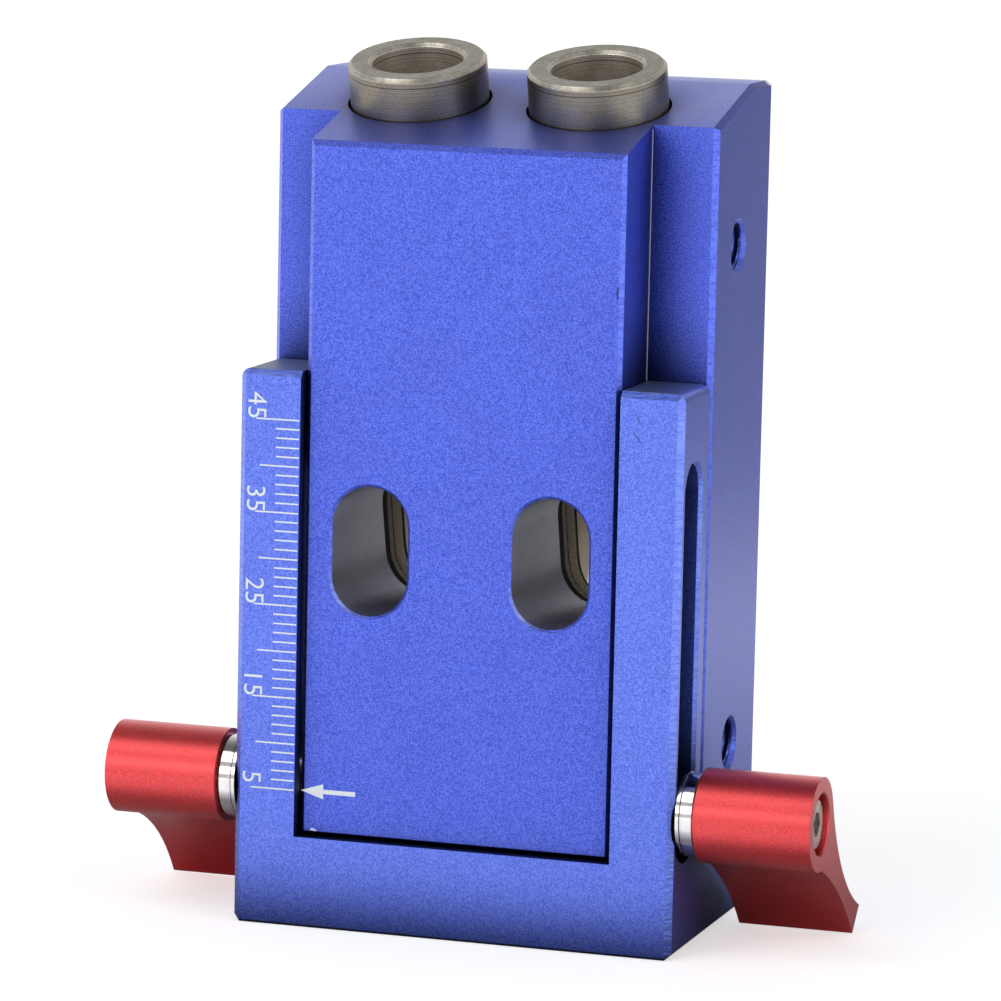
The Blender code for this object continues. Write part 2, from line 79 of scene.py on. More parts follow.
# Chip windows. Each wall is bare metal, then a black band painted as the shade of the gap at the
# sleeve, and then the cut bushing.
WINDOW_REACH = 4.32 * MM
WINDOW_LOW = 34.15 * MM
WINDOW_HIGH = 48.25 * MM
WINDOW_MOUTH = 0.35 * MM
WINDOW_MARGIN = 1.0 * MM
SEAM_RADIUS = 10.15 * MM
CUT_RADIUS = 8.8 * MM
BORE_LIP = 0.5 * MM
SEAM_BLUR = 0.12 * MM
RIM_FACING = 0.45

# The darker band across each window's bare metal, a painted reflection, which rises to the right
BAND_HEIGHT = 39.7 * MM
BAND_MIDDLE = -0.2 * MM
BAND_SLOPE = 0.45
BAND_FADE = (0.3 * MM, 1.8 * MM)
BAND_SHADE = (0.55, 1.12)

# Engraved scale on the left arm
SCALE_FIRST = 5
SCALE_LAST = 45
SCALE_FIRST_HEIGHT = 14.93 * MM
TICK_PITCH = 1.0 * MM
TICK_RIGHT = -17.78 * MM
SHORT_TICK = 2.62 * MM
TEN_TICK = 4.42 * MM
LABELLED_TICK = 4.88 * MM
LINE_WIDTH = 0.17 * MM
ETCH_RISE = 0.012 * MM
NUMBER_LEFT = -23.6 * MM
NUMBER_SIZE = 3.04 * MM
NUMBER_BOLDNESS = -0.013 * MM
NUMBER_GAP = -0.15 * MM
LONE_NUMBER_GAP = 0.33 * MM

# Arrow on the block that points at the scale
ARROW_TIP = -17.3 * MM
ARROW_HEIGHT = 14.82 * MM
ARROW_LENGTH = 6.2 * MM
ARROW_HEAD_LENGTH = 2.55 * MM
ARROW_HEAD_WIDTH = 1.65 * MM
ARROW_SHAFT_WIDTH = 0.5 * MM

# Tapped holes in the flanks
THREAD_RADIUS = 2.5 * MM
THREAD_RELIEF = 0.3 * MM
THREAD_PITCH = 0.7 * MM
THREAD_DEPTH = 5.6 * MM
HOLES = ((19.5 * MM, 74.0 * MM), (21.5 * MM, 19.7 * MM))
THREAD_MOUTH = 0.55 * MM
THREAD_SINK = 0.05 * MM
THREAD_FOOT = 0.42
THREAD_RUNOUT = 0.7
THREAD_STEPS = 40

# Lever springs
SPRING_WIRE = 0.25 * MM
SPRING_TURNS = 5
SPRING_STEPS = 36
SPRING_SIDES = 10
SPRING_END_GAP = 0.05 * MM

# Collar lips. A profile's point is in millimetres: out from the seam, and below the rim.
LIP_GAP = 0.06 * MM
LIP_PROFILE = ((0.0, 0.8), (0.0, 0.10), (0.04, 0.03), (0.50, 0.02), (0.50, 0.8))
LIP_STEPS = 96

# Wear. The left arm's top is duller than the right arm's, and painted darker as shade. Marks are in
# millimetres.
ARM_TOP = 60.2 * MM
FACE_DEPTH = 0.05 * MM
ARM_BLEND = 10.0 * MM
LEFT_ARM_SHADE = 0.6
LEFT_ARM_DULLNESS = 0.6
SCRATCHES = (((19.11, 58.46), (20.15, 56.51)), ((18.88, 56.37), (20.34, 54.54)))
SCRATCH_HALF = 0.05 * MM
BRIGHT_NICK = ((-16.2, 10.48), (-15.4, 10.48), (-15.5, 10.62), (-16.05, 10.82))
DARK_NICK = ((16.72, 70.9), (16.66, 70.3), (16.74, 69.7), (16.88, 69.75), (16.88, 70.85))

# The block's back top edge
BACK_EDGE_START = BLOCK_HIGH.y - 1.55 * MM
BACK_EDGE_LOW = 88.0 * MM
BACK_EDGE_BLUR = 0.1 * MM
BACK_EDGE_SHARE = 0.9

# A pale line where the raised middle meets the flanges behind it
BOSS_HALF = 17.4 * MM
FLANGE_FRONT = STOP_FRONT + 10.5 * MM
CORNER_LINE = 0.08 * MM
CORNER_LINE_TOP = 86.8 * MM
CORNER_LINE_SHARE = 0.55

# Chamfers above this height belong to the sloped top
HIGH_CHAMFERS = 82.0 * MM

# Grain. Most of a noise lies in its span, and the bulk of it in its core.
NOISE_SPAN = (0.3, 0.7)
NOISE_CORE = (0.35, 0.65)
GRAIN_SIZE = 0.17 * MM
GRAIN_SWING = (0.92, 0.64, 0.26)
BLOCK_GRAIN_SHARE = 0.95
STOP_GRAIN_SHARE = 0.6
FINE_GRAIN_SIZE = 0.15 * MM
GRIT_SWING = (0.4, 1.6)

# Edges. A face is a chamfer where no part of its normal is large. Chamfers are painted pale as a
# highlight, and the sloped top's upward chamfers darker as shade.
CHAMFER_FACING = (0.74, 0.90)
DARK_FACING = (0.2, 0.4)
DARK_CHAMFER = 0.5
DARK_COAT = 0.3
RIPPLE_SIZE = 0.27 * MM
RIPPLE_LENGTH = 1.2 * MM
RIPPLE_HEIGHT = 4.0
EDGE_ROUNDING = 0.12 * MM
SLEEVE_ROUNDING = 0.08 * MM
STEEL_ROUNDING = 0.06 * MM
SHADE_REACH = 8.0 * MM
SHADE_SPAN = (0.38, 0.93)
SLIT_SHADE = 0.10
MERGE_DISTANCE = 0.0005 * MM
NODE_SHARP_ANGLE = math.radians(26.0)
PIECE_SHARP_ANGLE = math.radians(30.0)

# How deep each finish's grain or lines are
BLAST_DEPTH = 0.016 * MM
FINE_BLAST_DEPTH = 0.010 * MM
THREAD_GRAIN_DEPTH = 0.004 * MM
SLEEVE_LINE_DEPTH = 0.006 * MM
STEEL_LINE_DEPTH = 0.002 * MM
ETCH_GRAIN_DEPTH = 0.010 * MM
MARK_DEPTH = 0.004 * MM

# Shader numbers that several finishes share
ANODISED_METALLIC = 0.88
ANODISED_ROUGHNESS = (0.40, 0.52)
ANODISED_COAT_ROUGHNESS = 0.34
DULL_ROUGHNESS = 0.9
BARE_DULLNESS = 0.35

# Camera, from the fit to the photograph
CAMERA_PLACE = Vector((173.812, -550.105, 129.915)) * MM
CAMERA_AIM = Vector((0.038, -4.825, 45.544)) * MM
CAMERA_ROLL = math.radians(1.264)
CAMERA_LENS = 192.4
CAMERA_SENSOR = 36.0
CAMERA_CLIP = (0.01, 50.0)

# Linear colours
BLOCK_BLUE = (0.066, 0.122, 0.745)
STOP_BLUE = (0.115, 0.195, 0.85)
RED = (0.86, 0.049, 0.055)
SLEEVE_STEEL = (0.26, 0.245, 0.215)
RIM_STEEL = (0.46, 0.425, 0.36)
BORE_STEEL = (0.86, 0.80, 0.72)
CUT_STEEL = (0.58, 0.54, 0.42)
DEEP_BORE = (0.80, 0.70, 0.58)
BARE_METAL = (0.145, 0.15, 0.27)
EDGE_PALE = (0.93, 0.93, 1.0)
# A painted highlight on the windows' rims
RIM_HIGHLIGHT = (0.42, 0.52, 1.0)
WORN_DARK = (0.15, 0.19, 0.42)
WORN_PALE = (0.34, 0.41, 0.66)
ETCHED = (0.88, 0.95, 1.0)
WARM_CAST = (1.08, 1.02, 0.88)
# Painted shade of the gap between each window's wall and its sleeve
GAP_SHADE_BLACK = (0.004, 0.004, 0.005)
# Painted shade along the bore's edge where a window cuts the sleeve
LIP_SHADE_BLACK = (0.004, 0.004, 0.004)
CHROME = (0.86, 0.85, 0.84)
SCREW_STEEL = (0.80, 0.78, 0.74)
SPRING_STEEL = (0.5, 0.5, 0.5)
SCRATCH_DARK = (0.03, 0.04, 0.12)
NICK_BRIGHT = (0.55, 0.60, 0.85)

# The floor's paper, and the glow that lifts it to white, weaker near the jig than far from it
PAPER = 0.84
PAPER_GLOW = (0.56, 0.66)
GLOW_SPAN = (0.15, 0.9)
PAPER_ROUGHNESS = 0.9
FLOOR_RADIUS = 6.0
FLOOR_DROP = 0.02 * MM

# Metal mirrors the paper as white far from the jig or in front of it, and close to it with a
# painted shadow that darkens the paper
CLEAR_SPAN = (0.05, 0.2)
CLEAR_FRONT = (-0.040, -0.025)
NEAR_PAINTED_SHADOW = 0.5

# The room that metal mirrors, dimmer in front and overhead: a span, and the brightness at
# its two ends
ROOM_DEPTH = (-0.7, 0.2, 0.58, 0.88)
ROOM_HEIGHT = (0.5, 0.95, 1.0, 0.15)

LIGHT_AIM = (0.0, 0.0, 0.045)


def add_node(tree, kind, values=None, **settings):
    """A shader node. Values are numbers or sockets, by input name or number."""
    made = tree.nodes.new("ShaderNode" + kind)
    for name, value in settings.items():
        setattr(made, name, value)
    for key, value in (values or {}).items():
        if isinstance(value, bpy.types.NodeSocket):
            tree.links.new(value, made.inputs[key])
        else:
            made.inputs[key].default_value = value
    return made


def calculate(tree, operation, *values):
    return add_node(tree, "Math", dict(enumerate(values)), operation=operation).outputs[0]


def remap(tree, value, from_low, from_high, to_low, to_high):
    values = {"Value": value, "From Min": from_low, "From Max": from_high,
              "To Min": to_low, "To Max": to_high}
    return add_node(tree, "MapRange", values, clamp=True).outputs["Result"]


def noise(tree, place, size, detail=2.0, roughness=0.5):
    """Noise whose features are about one size across."""
    values = {"Vector": place, "Scale": 1.0 / size, "Detail": detail, "Roughness": roughness}
    return add_node(tree, "TexNoise", values).outputs["Fac"]


def object_place(tree):
    return add_node(tree, "TexCoord").outputs["Object"]


def split(tree, vector):
    parts = add_node(tree, "SeparateXYZ", {"Vector": vector}).outputs
    return parts["X"], parts["Y"], parts["Z"]


def mix_colors(tree, factor, first, second, blend_type="MIX"):
    mixed = add_node(tree, "Mix", data_type="RGBA", blend_type=blend_type)
    for index, value in ((0, factor), (6, first), (7, second)):
        if isinstance(value, bpy.types.NodeSocket):
            tree.links.new(value, mixed.inputs[index])
        else:
            mixed.inputs[index].default_value = value
    return mixed.outputs[2]


def tint(tree, color, amount):
    """A colour multiplied by a grey amount."""
    grey = add_node(tree, "CombineColor", {"Red": amount, "Green": amount, "Blue": amount})
    return mix_colors(tree, 1.0, color, grey.outputs["Color"], "MULTIPLY")


def product(tree, first, *others):
    """Several numbers multiplied together."""
    for other in others:
        first = calculate(tree, "MULTIPLY", first, other)
    return first


def within(tree, *limits):
    """One where every limit holds. A limit is an operation, a value and a number."""
    return product(tree, *(calculate(tree, *limit) for limit in limits))


def away(tree, value, middle):
    """How far a value is from a middle, either way."""
    return calculate(tree, "ABSOLUTE", calculate(tree, "SUBTRACT", value, middle))


def spread(tree, value, low, high):
    """A noise stretched to run from low to high."""
    return remap(tree, value, *NOISE_SPAN, low, high)


def coarse_grit(tree, place):
    """The strong speckle of a cut face."""
    speckle = noise(tree, place, GRAIN_SIZE, 3.0, 0.8)
    return remap(tree, speckle, *NOISE_CORE, *GRIT_SWING)


def fine_lines(tree, along, size, detail):
    """Noise that changes along one direction only, as turning leaves it."""
    values = {"W": along, "Scale": 1.0 / size, "Detail": detail}
    return add_node(tree, "TexNoise", values, noise_dimensions="1D").outputs["Fac"]


def bump(tree, height, distance, normal=None):
    values = {"Height": height, "Distance": distance}
    if normal is not None:
        values["Normal"] = normal
    return add_node(tree, "Bump", values).outputs["Normal"]


def new_material(name, metallic, coat=0.0, coat_roughness=0.3, specular=0.5):
    material = bpy.data.materials.new(name)
    material.use_nodes = True
    tree = material.node_tree
    shader = tree.nodes["Principled BSDF"]
    shader.inputs["Metallic"].default_value = metallic
    shader.inputs["Coat Weight"].default_value = coat
    shader.inputs["Coat Roughness"].default_value = coat_roughness
    shader.inputs["Specular IOR Level"].default_value = specular
    return material, tree, shader


def connect(tree, shader, **sockets):
    for name, socket in sockets.items():
        tree.links.new(socket, shader.inputs[name.replace("_", " ")])


def rounded_edges(tree, radius):
    return add_node(tree, "Bevel", {"Radius": radius}, samples=4).outputs["Normal"]


def chamfer_masks(tree, place):
    """One on the chamfers, painted pale as a highlight, and one on those of the sloped top that
    face up, painted dark as shade.
    """
    normal = add_node(tree, "NewGeometry").outputs["True Normal"]
    x, y, z = (calculate(tree, "ABSOLUTE", part) for part in split(tree, normal))
    largest = calculate(tree, "MAXIMUM", calculate(tree, "MAXIMUM", x, y), z)
    chamfer = remap(tree, largest, *CHAMFER_FACING, 1.0, 0.0)
    high = calculate(tree, "GREATER_THAN", split(tree, place)[2], HIGH_CHAMFERS)
    dark = product(tree, chamfer, high, remap(tree, z, *DARK_FACING, 0.0, 1.0))
    return calculate(tree, "SUBTRACT", chamfer, dark), dark


def cutter_ripples(tree, place):
    """The short strokes that the chamfering cutter leaves across an upright edge."""
    x, y, z = split(tree, place)
    flat = add_node(tree, "CombineXYZ", {
        "X": calculate(tree, "DIVIDE", x, RIPPLE_LENGTH),
        "Y": calculate(tree, "DIVIDE", y, RIPPLE_LENGTH),
        "Z": calculate(tree, "DIVIDE", z, RIPPLE_SIZE)}).outputs["Vector"]
    return noise(tree, flat, 1.0, 1.0)


def drill_frame(tree, place):
    """Distance behind the drills' axes, and distance along them upwards from the sloped top."""
    _, y, z = split(tree, place)
    behind = calculate(tree, "SUBTRACT", y, DRILL_TOP_Y)
    above = calculate(tree, "SUBTRACT", z, DRILL_TOP_Z)
    cosine = math.cos(DRILL_TILT)
    sine = math.sin(DRILL_TILT)
    setback = calculate(tree, "ADD", calculate(tree, "MULTIPLY", behind, cosine),
                        calculate(tree, "MULTIPLY", above, sine))
    rise = calculate(tree, "ADD", calculate(tree, "MULTIPLY", behind, -sine),
                     calculate(tree, "MULTIPLY", above, cosine))
    return setback, rise


def drill_distance(tree, place):
    """Distance from the nearer drill's axis."""
    x, _, _ = split(tree, place)
    sideways = calculate(tree, "SUBTRACT", calculate(tree, "ABSOLUTE", x), DRILL_HALF_SPACING)
    setback, _ = drill_frame(tree, place)
    squares = [calculate(tree, "MULTIPLY", part, part) for part in (sideways, setback)]
    return calculate(tree, "SQRT", calculate(tree, "ADD", *squares))


def open_share(tree):
    """Painted shade from ambient occlusion: low deep in a slit, and one in the open."""
    shade = add_node(tree, "AmbientOcclusion", {"Distance": SHADE_REACH}, samples=6)
    return remap(tree, shade.outputs["AO"], *SHADE_SPAN, SLIT_SHADE, 1.0)


def window_side(tree, x):
    """How far to the right of its own window's middle a place is."""
    middle = calculate(tree, "MULTIPLY", calculate(tree, "SIGN", x), DRILL_HALF_SPACING)
    return calculate(tree, "SUBTRACT", x, middle)


def inside_windows(tree, place):
    """One on the chip windows' walls."""
    x, y, z = split(tree, place)
    from_middle = calculate(tree, "ABSOLUTE", window_side(tree, x))
    return within(tree, ("LESS_THAN", from_middle, WINDOW_REACH),
                  ("GREATER_THAN", y, BLOCK_FRONT + WINDOW_MOUTH),
                  ("LESS_THAN", y, BLOCK_HIGH.y - WINDOW_MOUTH),
                  ("GREATER_THAN", z, WINDOW_LOW),
                  ("LESS_THAN", z, WINDOW_HIGH))


def bare_wall(tree, place):
    """The windows' bare metal, with a darker band painted as a reflection."""
    x, _, z = split(tree, place)
    grain = spread(tree, noise(tree, place, GRAIN_SIZE, 2.0, 0.7), 0.75, 1.25)
    mottle = spread(tree, noise(tree, place, 1.5 * MM, 3.0), 0.85, 1.12)
    aside = calculate(tree, "SUBTRACT", window_side(tree, x), BAND_MIDDLE)
    level = calculate(tree, "SUBTRACT", z, calculate(tree, "MULTIPLY", aside, BAND_SLOPE))
    band = remap(tree, away(tree, level, BAND_HEIGHT), *BAND_FADE, *BAND_SHADE)
    return tint(tree, (*BARE_METAL, 1.0), product(tree, grain, mottle, band))


def beyond(tree, distance, radius):
    """One beyond a radius, with a narrow blur."""
    return remap(tree, distance, radius - SEAM_BLUR, radius + SEAM_BLUR, 0.0, 1.0)


def window_wall(tree, place, distance, grit):
    """A window's wall, by its distance from the drill's axis."""
    # Painted shade: a black band on the wall just outside the cut bushing.
    wall = mix_colors(tree, beyond(tree, distance, SEAM_RADIUS), (*GAP_SHADE_BLACK, 1.0),
                      bare_wall(tree, place))
    cut = tint(tree, (*CUT_STEEL, 1.0), grit)
    return mix_colors(tree, beyond(tree, distance, CUT_RADIUS), cut, wall)


def back_edge(tree, place, facing):
    """The strip along the back of the sloped top, where it faces up."""
    _, y, z = split(tree, place)
    strip = remap(tree, y, BACK_EDGE_START, BACK_EDGE_START + BACK_EDGE_BLUR,
                  0.0, BACK_EDGE_SHARE)
    upward = within(tree, ("GREATER_THAN", z, BACK_EDGE_LOW), ("GREATER_THAN", facing[2], 0.5))
    return calculate(tree, "MULTIPLY", upward, strip)


def window_rim(tree, place, facing, grit):
    """A highlight painted on the lower left edge of each window's front mouth, where it faces right
    and up, speckled by grit.
    """
    _, y, z = split(tree, place)
    right, up = (remap(tree, part, 0.0, RIM_FACING, 0.0, 1.0) for part in (facing[0], facing[2]))
    mouth = within(tree, ("LESS_THAN", y, BLOCK_FRONT + WINDOW_MOUTH),
                   ("LESS_THAN", z, WINDOW_HIGH))
    return product(tree, right, up, mouth, remap(tree, grit, *GRIT_SWING, 0.25, 1.0))


def cutter_line(tree, place):
    """The line in the two corners beside the raised middle."""
    x, y, z = split(tree, place)
    aside = away(tree, calculate(tree, "ABSOLUTE", x), BOSS_HALF)
    line = within(tree, ("LESS_THAN", away(tree, y, FLANGE_FRONT), CORNER_LINE),
                  ("LESS_THAN", aside, CORNER_LINE), ("LESS_THAN", z, CORNER_LINE_TOP))
    return calculate(tree, "MULTIPLY", line, CORNER_LINE_SHARE)


def block_details(tree, place, base):
    """The block's colour with its windows' walls, its pale edges and the painted highlights on the
    windows' rims, and how dull those are.
    """
    inside = inside_windows(tree, place)
    distance = drill_distance(tree, place)
    grit = coarse_grit(tree, place)
    facing = split(tree, add_node(tree, "NewGeometry").outputs["True Normal"])
    edge = back_edge(tree, place, facing)
    rim = window_rim(tree, place, facing, grit)
    line = cutter_line(tree, place)
    # The pale back edge, the painted highlight on the windows' rims, and the pale corner line
    for share, color in ((edge, EDGE_PALE), (rim, RIM_HIGHLIGHT), (line, EDGE_PALE)):
        base = mix_colors(tree, share, base, (*color, 1.0))
    seam = calculate(tree, "LESS_THAN", distance, SEAM_RADIUS)
    dull = product(tree, inside, remap(tree, seam, 0.0, 1.0, BARE_DULLNESS, 1.0))
    dull = calculate(tree, "MAXIMUM", calculate(tree, "MAXIMUM", dull, line), edge)
    return mix_colors(tree, inside, base, window_wall(tree, place, distance, grit)), dull


def stop_details(tree, place, base):
    """The arms' top faces are scuffed and gritty, and lose some of the finish's gloss; the left one
    is painted darker as shade.
    """
    x, _, z = split(tree, place)
    top = calculate(tree, "GREATER_THAN", z, ARM_TOP - FACE_DEPTH)
    grit = noise(tree, place, 0.35 * MM, 4.0, 0.75)
    worn_and_shaded = mix_colors(tree, remap(tree, grit, 0.36, 0.64, 0.0, 1.0), (*WORN_DARK, 1.0),
                      (*WORN_PALE, 1.0))
    # Painted shade: the left arm's top is darker.
    worn_and_shaded = tint(tree, worn_and_shaded, remap(tree, x, -ARM_BLEND, ARM_BLEND, LEFT_ARM_SHADE, 1.0))
    left = remap(tree, x, -ARM_BLEND, ARM_BLEND, 1.0, 0.0)
    return mix_colors(tree, top, base, worn_and_shaded), product(tree, top, left, LEFT_ARM_DULLNESS)


def grain_color(color, share):
    """A colour moved by a share of its grain's swing, which may be negative."""
    moved = (part * (1.0 + share * swing) for part, swing in zip(color, GRAIN_SWING))
    return (*(min(1.0, part) for part in moved), 1.0)


def anodised_material(name, color, grain_share, details):
    """Blasted and dyed aluminium: fine grain, rippled chamfers with a painted highlight, painted
    shade on the sloped top's upward chamfers, and painted shade in slits.
    """
    material, tree, shader = new_material(name, ANODISED_METALLIC,
                                          coat_roughness=ANODISED_COAT_ROUGHNESS)
    place = object_place(tree)
    grain = noise(tree, place, GRAIN_SIZE, 1.0, 0.6)
    cloud = noise(tree, place, 9.0 * MM, 3.0)
    base = mix_colors(tree, remap(tree, grain, 0.34, 0.66, 0.0, 1.0),
                      grain_color(color, -grain_share), grain_color(color, grain_share))
    base = tint(tree, base, spread(tree, cloud, 0.97, 1.03))
    highlit_chamfers, shaded_chamfers = chamfer_masks(tree, place)
    ripples = cutter_ripples(tree, place)
    # A lighter copy of the colour is painted on the chamfers as a highlight, broken up by the
    # cutter's ripples, and the sloped top's upward chamfers are painted darker as shade.
    pale = (*(min(1.0, channel * 1.4 + 0.03) for channel in color), 1.0)
    chamfer_highlight = calculate(tree, "MULTIPLY", highlit_chamfers, remap(tree, ripples, 0.4, 0.6, 0.1, 1.0))
    base = mix_colors(tree, chamfer_highlight, base, pale)
    base = tint(tree, base, remap(tree, shaded_chamfers, 0.0, 1.0, 1.0, DARK_CHAMFER))
    # Painted shade: the colour is darkened deep in slits and corners.
    share = open_share(tree)
    base, dull = details(tree, place, tint(tree, base, share))
    height = calculate(tree, "ADD", grain, product(tree, ripples, highlit_chamfers, RIPPLE_HEIGHT))
    normal = bump(tree, height, BLAST_DEPTH, rounded_edges(tree, EDGE_ROUNDING))
    rough = calculate(tree, "MAXIMUM", spread(tree, grain, *ANODISED_ROUGHNESS),
                      calculate(tree, "MULTIPLY", dull, DULL_ROUGHNESS))
    gloss = calculate(tree, "SUBTRACT", 1.0, dull)
    coat = product(tree, gloss, remap(tree, shaded_chamfers, 0.0, 1.0, 1.0, DARK_COAT), share)
    connect(tree, shader, Base_Color=base, Normal=normal, Roughness=rough, Coat_Weight=coat,
            Metallic=calculate(tree, "MULTIPLY", gloss, ANODISED_METALLIC))
    return material


def lever_material():
    """Red anodised aluminium with a finer blast than the blocks."""
    material, tree, shader = new_material("lever_finish", ANODISED_METALLIC, 1.0,
                                          coat_roughness=ANODISED_COAT_ROUGHNESS)
    place = object_place(tree)
    grain = noise(tree, place, FINE_GRAIN_SIZE, 2.0, 0.8)
    cloud = noise(tree, place, 6.0 * MM, 3.0)
    amount = product(tree, spread(tree, grain, 0.62, 1.36), spread(tree, cloud, 0.96, 1.04))
    normal = bump(tree, grain, FINE_BLAST_DEPTH, rounded_edges(tree, EDGE_ROUNDING))
    connect(tree, shader, Base_Color=tint(tree, (*RED, 1.0), amount), Normal=normal,
            Roughness=spread(tree, grain, 0.34, 0.42))
    return material


def thread_material():
    """The tapped threads are brighter than the blasted faces, with painted shade deep in the holes.
    """
    material, tree, shader = new_material("thread_finish", ANODISED_METALLIC, 0.4)
    lines = noise(tree, object_place(tree), FINE_GRAIN_SIZE, 2.0)
    base = tint(tree, (*STOP_BLUE, 1.0), open_share(tree))
    connect(tree, shader, Base_Color=tint(tree, base, spread(tree, lines, 0.8, 1.2)),
            Normal=bump(tree, lines, THREAD_GRAIN_DEPTH),
            Roughness=spread(tree, lines, 0.2, 0.34))
    return material


def sleeve_cut(tree, place, distance, bore):
    """The sleeve where a window cuts it: gritty steel, a black lip painted as shade at the bore's
    edge, and the deep bore.
    """
    steel = tint(tree, (*CUT_STEEL, 1.0), coarse_grit(tree, place))
    outside_lip = calculate(tree, "GREATER_THAN", distance, BORE_RADIUS + BORE_LIP)
    # Painted shade: black just outside the bore's edge.
    cut = mix_colors(tree, outside_lip, (*LIP_SHADE_BLACK, 1.0), steel)
    return mix_colors(tree, bore, cut, (*DEEP_BORE, 1.0))


def sleeve_material():
    """Hardened steel, turned round its axis, with the brown cast of its heat treatment."""
    material, tree, shader = new_material("sleeve_steel", 1.0)
    place = object_place(tree)
    _, y, z = split(tree, place)
    _, along = drill_frame(tree, place)
    distance = drill_distance(tree, place)
    lines = fine_lines(tree, along, 0.12 * MM, 3.0)
    cloud = noise(tree, place, 3.0 * MM, 4.0)
    speck = noise(tree, place, 0.2 * MM, 3.0, 0.7)
    from_groove = away(tree, along, BUSHING_STAND - RIM_GROOVE_DROP)
    # Painted shade: a dark line at the rim's groove.
    groove_shade = remap(tree, from_groove, RIM_GROOVE_HALF / 2, RIM_GROOVE_HALF, 0.3, 1.0)
    amount = product(tree, spread(tree, lines, 0.72, 1.28), spread(tree, speck, 0.8, 1.2), groove_shade)
    warm = (*(part * cast for part, cast in zip(SLEEVE_STEEL, WARM_CAST)), 1.0)
    color = mix_colors(tree, remap(tree, cloud, *NOISE_CORE, 0.0, 1.0),
                       (*SLEEVE_STEEL, 1.0), warm)
    rim = calculate(tree, "GREATER_THAN", along, BUSHING_STAND - RIM_BAND)
    mottle = remap(tree, noise(tree, place, 0.7 * MM, 4.0, 0.7), *NOISE_CORE, 0.82, 1.15)
    color = mix_colors(tree, rim, color, tint(tree, (*RIM_STEEL, 1.0), mottle))
    bore = calculate(tree, "LESS_THAN", distance, BORE_RADIUS + BORE_SKIN)
    color = mix_colors(tree, bore, color, (*BORE_STEEL, 1.0))
    in_window = within(tree, ("LESS_THAN", z, WINDOW_HIGH + WINDOW_MARGIN),
                       ("GREATER_THAN", z, WINDOW_LOW - WINDOW_MARGIN),
                       ("LESS_THAN", y, BLOCK_HIGH.y - WINDOW_MARGIN))
    color = mix_colors(tree, in_window, tint(tree, color, amount),
                       sleeve_cut(tree, place, distance, bore))
    rough = calculate(tree, "MAXIMUM", spread(tree, cloud, 0.32, 0.44),
                      calculate(tree, "MULTIPLY", in_window, DULL_ROUGHNESS))
    height = calculate(tree, "ADD", lines, calculate(tree, "MULTIPLY", speck, 0.8))
    normal = bump(tree, height, SLEEVE_LINE_DEPTH, rounded_edges(tree, SLEEVE_ROUNDING))
    connect(tree, shader, Base_Color=color, Roughness=rough, Normal=normal,
            Metallic=calculate(tree, "SUBTRACT", 1.0, in_window))
    return material


def steel_material(name, color, roughness, line_size):
    """Turned or drawn steel, with fine lines along the clamp's axis."""
    material, tree, shader = new_material(name, 1.0)
    place = object_place(tree)
    x, _, _ = split(tree, place)
    lines = fine_lines(tree, x, line_size, 2.0)
    smudge = noise(tree, place, 1.2 * MM, 3.0)
    base = tint(tree, (*color, 1.0), spread(tree, smudge, 0.93, 1.05))
    rough = spread(tree, smudge, roughness * 0.8, roughness * 1.25)
    normal = bump(tree, lines, STEEL_LINE_DEPTH, rounded_edges(tree, STEEL_ROUNDING))
    connect(tree, shader, Base_Color=base, Roughness=rough, Normal=normal)
    return material


def etched_material():
    """Laser marks: the dye is burnt off, and the pale, rough metal shows."""
    material, tree, shader = new_material("laser_etched", 0.5, specular=0.3)
    speckle = noise(tree, object_place(tree), 0.08 * MM, 2.0, 0.7)
    shader.inputs["Roughness"].default_value = 0.5
    base = tint(tree, (*ETCHED, 1.0), spread(tree, speckle, 0.86, 1.08))
    connect(tree, shader, Base_Color=base, Normal=bump(tree, speckle, ETCH_GRAIN_DEPTH))
    return material


def plain_material(name, color, roughness, metallic):
    """A small piece's finish, with a faint mottle."""
    material, tree, shader = new_material(name, metallic)
    mottle = noise(tree, object_place(tree), 0.3 * MM, 2.0)
    shader.inputs["Roughness"].default_value = roughness
    base = tint(tree, (*color, 1.0), spread(tree, mottle, 0.9, 1.1))
    connect(tree, shader, Base_Color=base, Normal=bump(tree, mottle, MARK_DEPTH))
    return material


def smoothing_group():
    """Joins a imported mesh's loose triangles and shades it smooth between its sharp edges."""
    group = bpy.data.node_groups.new("join_and_smooth", "GeometryNodeTree")
    group.interface.new_socket("Mesh", in_out="INPUT", socket_type="NodeSocketGeometry")
    group.interface.new_socket("Mesh", in_out="OUTPUT", socket_type="NodeSocketGeometry")
    nodes = group.nodes
    source = nodes.new("NodeGroupInput")
    result = nodes.new("NodeGroupOutput")
    merge = nodes.new("GeometryNodeMergeByDistance")
    merge.inputs["Distance"].default_value = MERGE_DISTANCE
    faces = nodes.new("GeometryNodeSetShadeSmooth")
    edges = nodes.new("GeometryNodeSetShadeSmooth")
    edges.domain = "EDGE"
    edges.inputs["Shade Smooth"].default_value = False
    angle = nodes.new("GeometryNodeInputMeshEdgeAngle")
    compare = nodes.new("FunctionNodeCompare")
    compare.operation = "GREATER_THAN"
    compare.inputs[1].default_value = NODE_SHARP_ANGLE
    link = group.links.new
    link(source.outputs[0], merge.inputs["Geometry"])
    link(merge.outputs["Geometry"], faces.inputs["Geometry"])
    link(faces.outputs["Geometry"], edges.inputs["Geometry"])
    link(angle.outputs["Unsigned Angle"], compare.inputs[0])
    link(compare.outputs[0], edges.inputs["Selection"])
    link(edges.outputs["Geometry"], result.inputs[0])
    return group


